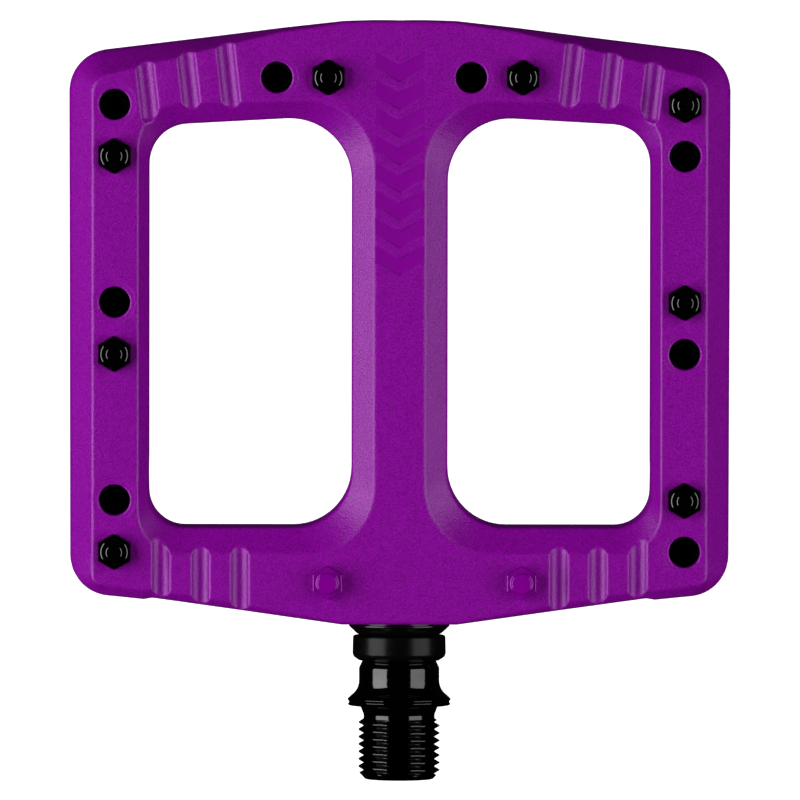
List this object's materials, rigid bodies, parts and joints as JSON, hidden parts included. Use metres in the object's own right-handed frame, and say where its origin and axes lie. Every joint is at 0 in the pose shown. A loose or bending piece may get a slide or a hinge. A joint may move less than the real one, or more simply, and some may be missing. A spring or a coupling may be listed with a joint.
{
  "type": "flat pedal",
  "caption": "Flat bicycle pedal: purple moulded platform with two windows and hexagonal grip pins, turning on a black threaded spindle with a rubber seal.",
  "frame": {"origin": "centre of the object's bounding box, which lies on the spindle's axis", "axes": "+Y along the spindle from the crank to the end cap, +Z out of the front face, +X to the right as the front face is looked at with the crank below"},
  "size_m": [0.1132, 0.1303, 0.0246],
  "materials": {
    "moulded_nylon": "satin, finely grained",
    "black_steel": "glossy black plating",
    "pin_steel": "dark plated steel",
    "black_plastic": "satin black",
    "black_aluminium": "black anodised",
    "rubber": "matte black",
    "bush_bronze": "plain bearing bronze",
    "bearing_steel": "ground steel"
  },
  "bodies": {
    "spindle_unit": {"spindle": "black_steel", "spindle_seal": "rubber", "bearing_inner_ring": "bearing_steel", "bearing_washer": "black_steel", "lock_nut": "black_steel"},
    "platform_unit": {"platform_body": "moulded_nylon", "seal_seat": "black_plastic", "inboard_bush": "bush_bronze", "bearing_outer_ring": "bearing_steel", "bearing_shield_inboard": "rubber", "bearing_shield_outboard": "rubber", "end_cap": "black_aluminium", "end_cap_ring": "rubber", "traction_pin_front_1": "pin_steel", "traction_pin_front_2": "pin_steel", "traction_pin_front_3": "pin_steel", "traction_pin_front_4": "pin_steel", "traction_pin_front_5": "pin_steel", "traction_pin_front_6": "pin_steel", "traction_pin_front_7": "pin_steel", "traction_pin_front_8": "pin_steel", "traction_pin_back_1": "pin_steel", "traction_pin_back_2": "pin_steel", "traction_pin_back_3": "pin_steel", "traction_pin_back_4": "pin_steel", "traction_pin_back_5": "pin_steel", "traction_pin_back_6": "pin_steel", "traction_pin_back_7": "pin_steel", "traction_pin_back_8": "pin_steel", "pin_screw_front_1": "black_steel", "pin_screw_front_2": "black_steel", "pin_screw_front_3": "black_steel", "pin_screw_front_4": "black_steel", "pin_screw_front_5": "black_steel", "pin_screw_front_6": "black_steel", "pin_screw_front_7": "black_steel", "pin_screw_front_8": "black_steel", "pin_screw_back_1": "black_steel", "pin_screw_back_2": "black_steel", "pin_screw_back_3": "black_steel", "pin_screw_back_4": "black_steel", "pin_screw_back_5": "black_steel", "pin_screw_back_6": "black_steel", "pin_screw_back_7": "black_steel", "pin_screw_back_8": "black_steel"},
    "ball_cage": {"bearing_ball_cage": "bearing_steel"}
  },
  "joints": [
    {"name": "platform_spin", "type": "hinge", "parent": "spindle_unit", "child": "platform_unit", "pos_m": [0, 0, 0], "axis": [0, 1, 0], "continuous": true},
    {"name": "ball_cage_orbit", "type": "hinge", "parent": "spindle_unit", "child": "ball_cage", "pos_m": [0, 0, 0], "axis": [0, 1, 0], "continuous": true}
  ],
  "couplings": [
    {"joint": "ball_cage_orbit", "follows": "platform_spin", "ratio": 0.6}
  ]
}
